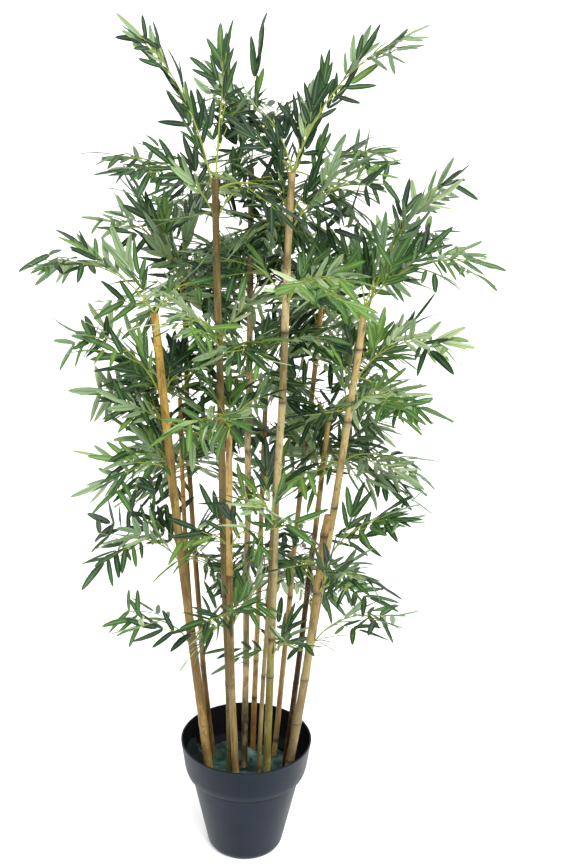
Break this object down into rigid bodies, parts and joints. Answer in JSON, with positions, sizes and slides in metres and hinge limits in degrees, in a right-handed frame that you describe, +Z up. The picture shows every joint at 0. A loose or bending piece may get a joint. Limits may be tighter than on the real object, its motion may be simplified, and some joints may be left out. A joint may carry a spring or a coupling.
{
  "type": "artificial potted bamboo",
  "caption": "Artificial bamboo: a fan of bare natural canes in a dark plastic pot with a stepped collar, with sprays of narrow green fabric leaves from knee height up.",
  "frame": {"origin": "middle of the pot's flat underside, on the ground", "axes": "+Z up along the plant's height; -Y is the front, the side the plant is seen from; +X is to the right of it"},
  "size_m": [0.7711, 0.6552, 1.4983],
  "materials": {
    "pot": "charcoal moulded plastic, matt with a soft sheen",
    "pot_filling": "cast filling under a creased teal-green cover sheet, matt with small pale glints",
    "cane_tan": "dried bamboo cane, straw tan, satin, with raised node rings and fine streaks",
    "cane_olive": "dried bamboo cane, olive to straw, satin, with raised node rings and blotches",
    "cane_orange": "dried bamboo cane, orange tan, satin, with raised node rings",
    "cane_brown": "dried bamboo cane, dark brown, satin, with raised node rings",
    "leaf_fabric": "printed polyester leaves, glossy dark green above and pale green below, on plastic stems"
  },
  "bodies": {
    "root": {"pot": "pot", "pot_filling": "pot_filling", "cane_a": "cane_tan", "cane_b": "cane_brown", "cane_c": "cane_brown", "cane_d": "cane_olive", "cane_e": "cane_tan", "cane_f": "cane_olive", "cane_g": "cane_orange", "cane_h": "cane_olive", "cane_i": "cane_olive", "cane_j": "cane_orange", "cane_k": "cane_brown", "cane_l": "cane_tan", "cane_m": "cane_tan", "spray_a1": "leaf_fabric", "spray_a2": "leaf_fabric", "spray_a3": "leaf_fabric", "spray_a4": "leaf_fabric", "spray_a5": "leaf_fabric", "spray_a6": "leaf_fabric", "spray_b1": "leaf_fabric", "spray_c1": "leaf_fabric", "spray_c2": "leaf_fabric", "spray_c3": "leaf_fabric", "spray_c4": "leaf_fabric", "spray_d1": "leaf_fabric", "spray_d2": "leaf_fabric", "spray_d3": "leaf_fabric", "spray_d4": "leaf_fabric", "spray_e1": "leaf_fabric", "spray_e2": "leaf_fabric", "spray_e3": "leaf_fabric", "spray_f1": "leaf_fabric", "spray_f2": "leaf_fabric", "spray_f3": "leaf_fabric", "spray_f4": "leaf_fabric", "spray_g1": "leaf_fabric", "spray_g2": "leaf_fabric", "spray_h1": "leaf_fabric", "spray_i1": "leaf_fabric", "spray_i2": "leaf_fabric", "spray_i3": "leaf_fabric", "spray_i4": "leaf_fabric", "spray_i5": "leaf_fabric", "spray_i6": "leaf_fabric", "spray_j1": "leaf_fabric", "spray_j2": "leaf_fabric", "spray_j3": "leaf_fabric", "spray_j4": "leaf_fabric", "spray_k1": "leaf_fabric", "spray_k2": "leaf_fabric", "spray_l1": "leaf_fabric", "spray_l2": "leaf_fabric", "spray_l3": "leaf_fabric", "spray_m1": "leaf_fabric", "spray_m2": "leaf_fabric", "spray_m3": "leaf_fabric", "spray_m4": "leaf_fabric", "spray_m5": "leaf_fabric"}
  },
  "joints": []
}
